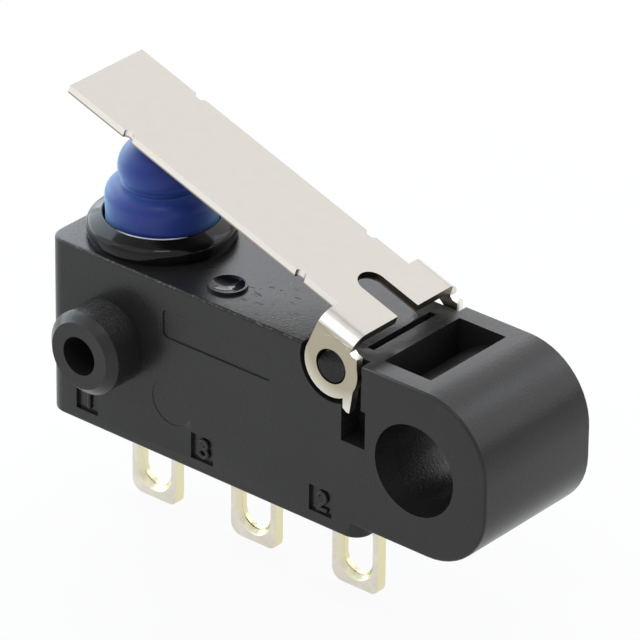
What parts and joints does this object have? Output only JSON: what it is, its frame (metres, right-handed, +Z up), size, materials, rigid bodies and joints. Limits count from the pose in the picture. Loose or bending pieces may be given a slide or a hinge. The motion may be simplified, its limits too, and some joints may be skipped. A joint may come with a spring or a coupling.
{
  "type": "lever micro switch",
  "caption": "Small sealed snap switch with a bent sheet lever over a rubber capped plunger, a mounting post, a mounting hole in an end lug and solder terminals below.",
  "frame": {"origin": "centre of the mounting hole where it meets the mounting face", "axes": "+X from the switch body to the end of the lug, +Y from the mounting face to the back face, +Z up towards the lever"},
  "size_m": [0.0185, 0.0067, 0.0153],
  "materials": {
    "housing_plastic": "satin",
    "base_plastic": "matte",
    "resin": "gloss",
    "ring_plastic": "gloss",
    "silicone": "satin",
    "plunger_plastic": "satin",
    "spring_steel": "satin",
    "plated_copper_alloy": "satin",
    "contact_alloy": "satin",
    "spring_copper_alloy": "satin",
    "stainless_sheet": "satin"
  },
  "bodies": {
    "case": {"housing": "housing_plastic", "base": "base_plastic", "potting_seal": "resin", "vent_plug": "resin", "retaining_ring": "ring_plastic", "rubber_cap": "silicone", "plunger_guide": "base_plastic", "drive_spring": "spring_steel", "common_terminal": "plated_copper_alloy", "normally_open_terminal": "plated_copper_alloy", "normally_closed_terminal": "plated_copper_alloy", "closed_fixed_contact": "contact_alloy", "open_fixed_contact": "contact_alloy", "fulcrum_bracket": "plated_copper_alloy", "bracket_rivet": "plated_copper_alloy"},
    "plunger_body": {"plunger": "plunger_plastic"},
    "blade_body": {"contact_blade": "spring_copper_alloy", "moving_contact": "contact_alloy", "snap_spring": "spring_steel"},
    "lever_body": {"lever": "stainless_sheet"}
  },
  "joints": [
    {"name": "lever_pivot", "type": "hinge", "parent": "case", "child": "lever_body", "pos_m": [-0.00346, 0.00265, 0.0025], "axis": [0, -1, 0], "range_deg": [0, 9.02], "stiffness_Nm_per_rad": 0.012, "springref_deg": -0.11},
    {"name": "plunger_press", "type": "slide", "parent": "case", "child": "plunger_body", "axis": [0, 0, -1], "range_m": [0, 0.0015], "deforming": ["rubber_cap", "drive_spring"]},
    {"name": "blade_pivot", "type": "hinge", "parent": "case", "child": "blade_body", "pos_m": [-0.01395, 0.00265, -0.0002], "axis": [0, 1, 0], "range_deg": [0, 3.85]}
  ],
  "couplings": [
    {"joint": "lever_pivot", "follows": "plunger_press", "rad_per_m": 104.72},
    {"joint": "blade_pivot", "follows": "plunger_press", "rad_per_m": 44.215}
  ]
}
